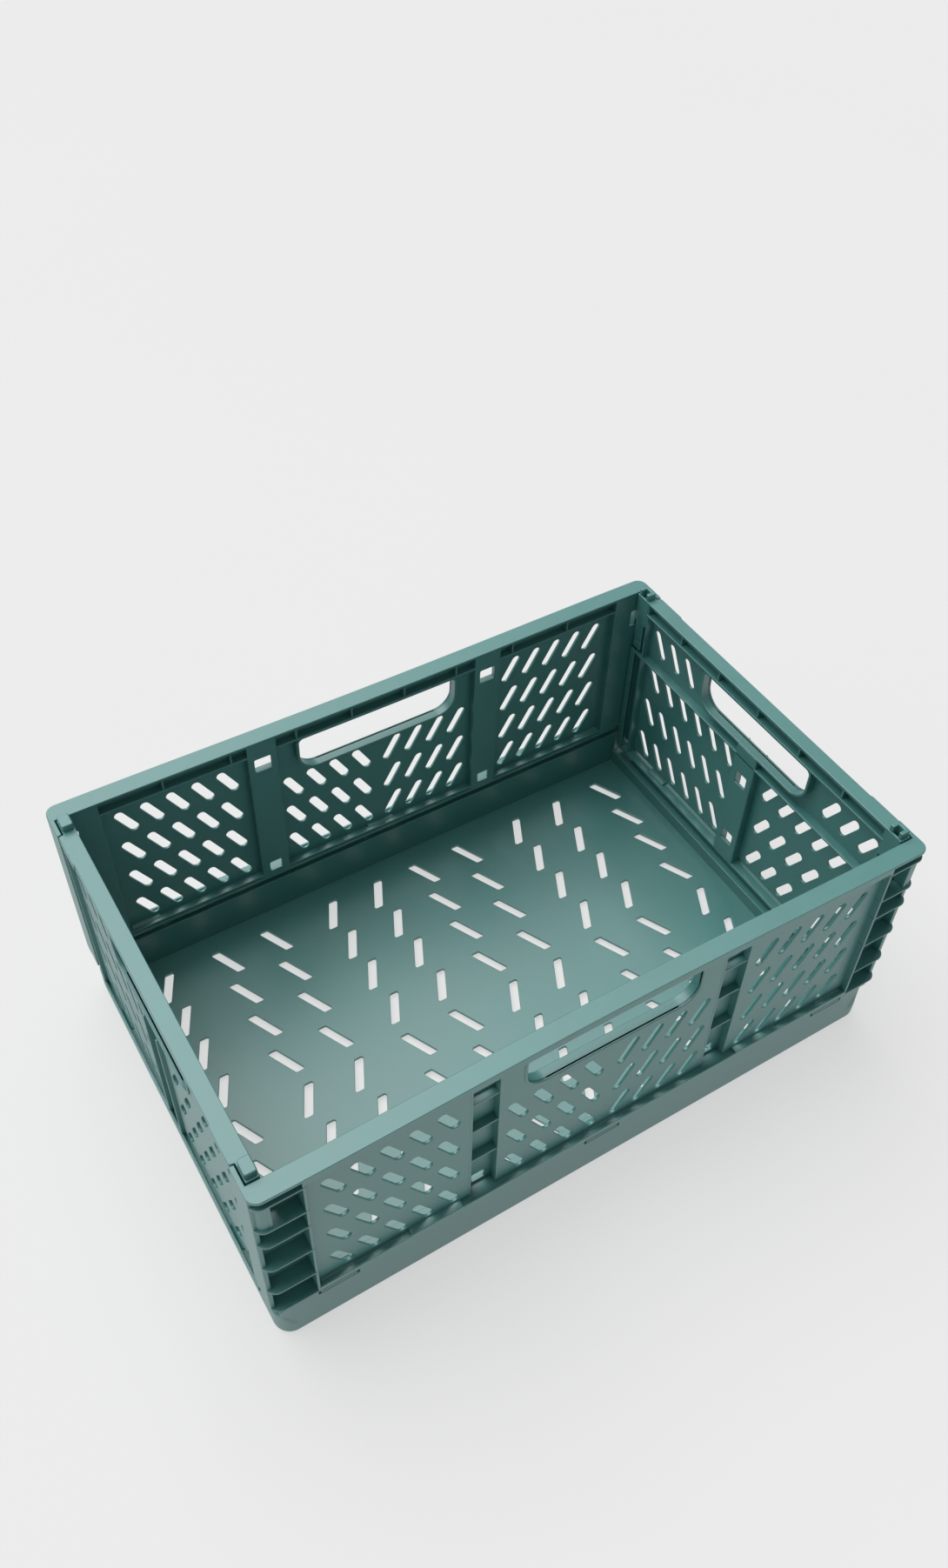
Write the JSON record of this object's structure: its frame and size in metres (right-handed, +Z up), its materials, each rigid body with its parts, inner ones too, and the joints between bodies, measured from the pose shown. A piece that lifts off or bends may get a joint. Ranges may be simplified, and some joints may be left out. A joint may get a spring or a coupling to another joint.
{
  "type": "collapsible storage crate",
  "caption": "Open-topped teal plastic storage crate with slotted walls, hand holes and a shallow base tray; end walls fold inward onto the floor and spring latches sit at the corners",
  "frame": {"origin": "Centre of the crate's footprint, on the surface it stands on. The front wall is at -Y and the left end wall at -X.", "axes": "+X runs along the long walls, +Y from the front wall to the back wall, +Z up."},
  "size_m": [0.4, 0.265, 0.1625],
  "materials": {
    "teal_wall": "moulded polypropylene, fine satin grain, teal green",
    "teal_base": "moulded polypropylene, fine satin grain, teal green",
    "teal_latch": "moulded polypropylene, fine satin grain, teal green"
  },
  "bodies": {
    "base": {"base_tray": "teal_base"},
    "front_wall": {"front_wall": "teal_wall"},
    "back_wall": {"back_wall": "teal_wall"},
    "left_end": {"left_end_wall": "teal_wall"},
    "right_end": {"right_end_wall": "teal_wall"},
    "latch_front_left": {"latch_front_left": "teal_latch"},
    "latch_front_right": {"latch_front_right": "teal_latch"},
    "latch_back_left": {"latch_back_left": "teal_latch"},
    "latch_back_right": {"latch_back_right": "teal_latch"}
  },
  "joints": [
    {"name": "front_wall_hinge", "type": "hinge", "parent": "base", "child": "front_wall", "pos_m": [0, -0.1265, 0.037], "axis": [-1, 0, 0], "range_deg": [-3, 0]},
    {"name": "back_wall_hinge", "type": "hinge", "parent": "base", "child": "back_wall", "pos_m": [0, 0.1265, 0.037], "axis": [1, 0, 0], "range_deg": [-3, 0]},
    {"name": "left_end_hinge", "type": "hinge", "parent": "base", "child": "left_end", "pos_m": [-0.1945, 0, 0.0195], "axis": [0, 1, 0], "range_deg": [0, 90]},
    {"name": "right_end_hinge", "type": "hinge", "parent": "base", "child": "right_end", "pos_m": [0.1945, 0, 0.0195], "axis": [0, -1, 0], "range_deg": [0, 90]},
    {"name": "latch_flex_front_left", "type": "hinge", "parent": "left_end", "child": "latch_front_left", "pos_m": [-0.1918, -0.1167, 0.1361], "axis": [1, 0, 0], "range_deg": [0, 7], "stiffness_Nm_per_rad": 0.3},
    {"name": "latch_flex_front_right", "type": "hinge", "parent": "right_end", "child": "latch_front_right", "pos_m": [0.1918, -0.1167, 0.1361], "axis": [1, 0, 0], "range_deg": [0, 7], "stiffness_Nm_per_rad": 0.3},
    {"name": "latch_flex_back_left", "type": "hinge", "parent": "left_end", "child": "latch_back_left", "pos_m": [-0.1918, 0.1167, 0.1361], "axis": [-1, 0, 0], "range_deg": [0, 7], "stiffness_Nm_per_rad": 0.3},
    {"name": "latch_flex_back_right", "type": "hinge", "parent": "right_end", "child": "latch_back_right", "pos_m": [0.1918, 0.1167, 0.1361], "axis": [-1, 0, 0], "range_deg": [0, 7], "stiffness_Nm_per_rad": 0.3}
  ]
}
